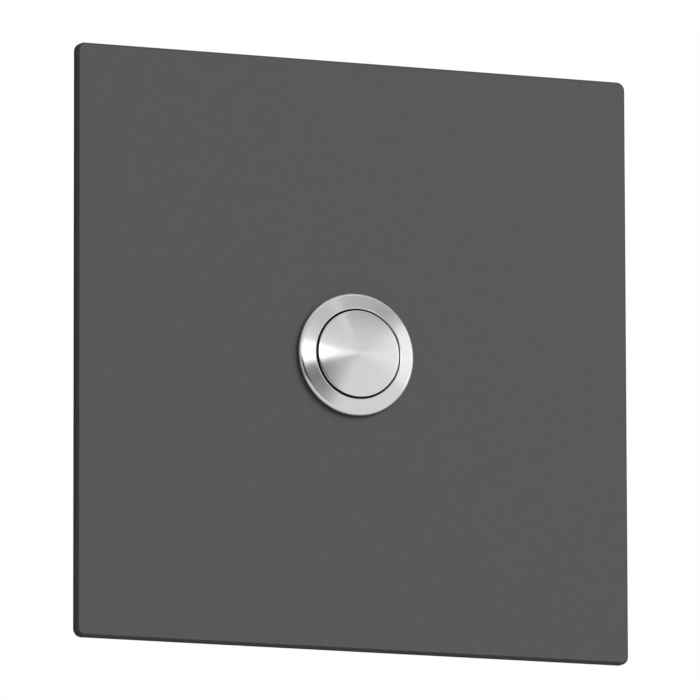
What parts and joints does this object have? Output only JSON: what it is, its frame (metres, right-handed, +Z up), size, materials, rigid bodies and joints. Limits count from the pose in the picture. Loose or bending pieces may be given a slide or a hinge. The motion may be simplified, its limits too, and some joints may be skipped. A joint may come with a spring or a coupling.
{
  "type": "doorbell push button",
  "caption": "Square anthracite door bell plate with a slightly domed stainless push button, held to the wall by weld studs behind it and wired at screw terminals at the back.",
  "frame": {"origin": "on the button's axis, in the plane of the plate's back face, which lies on the wall", "axes": "+Y into the wall along the button's travel, +Z up, +X to the right for a visitor facing the plate"},
  "size_m": [0.085, 0.027, 0.085],
  "materials": {
    "plate_coating": "matt anthracite powder coating",
    "stud_steel": "plain stainless weld stud",
    "seal_rubber": "matt black rubber",
    "switch_stainless": "circular brushed stainless steel",
    "cap_stainless": "circular brushed stainless steel",
    "nut_nickel": "nickel plated, satin",
    "zinc_steel": "bright zinc plated",
    "spring_steel": "drawn spring wire and stamped spring steel",
    "plunger_plastic": "natural white acetal",
    "carrier_plastic": "black glass-filled moulding",
    "contact_brass": "stamped brass strip",
    "contact_silver": "silver contact rivet"
  },
  "bodies": {
    "plate_and_housing": {"face_plate": "plate_coating", "weld_stud_1": "stud_steel", "weld_stud_2": "stud_steel", "weld_stud_3": "stud_steel", "weld_stud_4": "stud_steel", "bezel_gasket": "seal_rubber", "switch_housing": "switch_stainless", "lock_washer": "zinc_steel", "panel_nut": "nut_nickel", "return_spring": "spring_steel", "contact_carrier": "carrier_plastic", "fixed_contact_left": "contact_brass", "fixed_contact_right": "contact_brass", "fixed_tip_left": "contact_silver", "fixed_tip_right": "contact_silver", "clamp_washer_left": "zinc_steel", "clamp_washer_right": "zinc_steel", "terminal_screw_left": "zinc_steel", "terminal_screw_right": "zinc_steel"},
    "push_button": {"push_cap": "cap_stainless", "cap_o_ring": "seal_rubber", "plunger": "plunger_plastic", "retaining_clip": "spring_steel", "bridge_retainer": "spring_steel", "contact_spring": "spring_steel"},
    "bridge": {"contact_bridge": "contact_brass", "moving_tip_left": "contact_silver", "moving_tip_right": "contact_silver"}
  },
  "joints": [
    {"name": "button_press", "type": "slide", "parent": "plate_and_housing", "child": "push_button", "axis": [0, 1, 0], "range_m": [0, 0.0013], "stiffness_N_per_m": 1500, "springref_m": -0.0013, "deforming": ["return_spring", "contact_spring"]},
    {"name": "bridge_travel", "type": "slide", "parent": "plate_and_housing", "child": "bridge", "axis": [0, 1, 0], "range_m": [0, 0.0009]}
  ],
  "couplings": [
    {"joint": "bridge_travel", "follows": "button_press", "ratio": 0.6923}
  ]
}
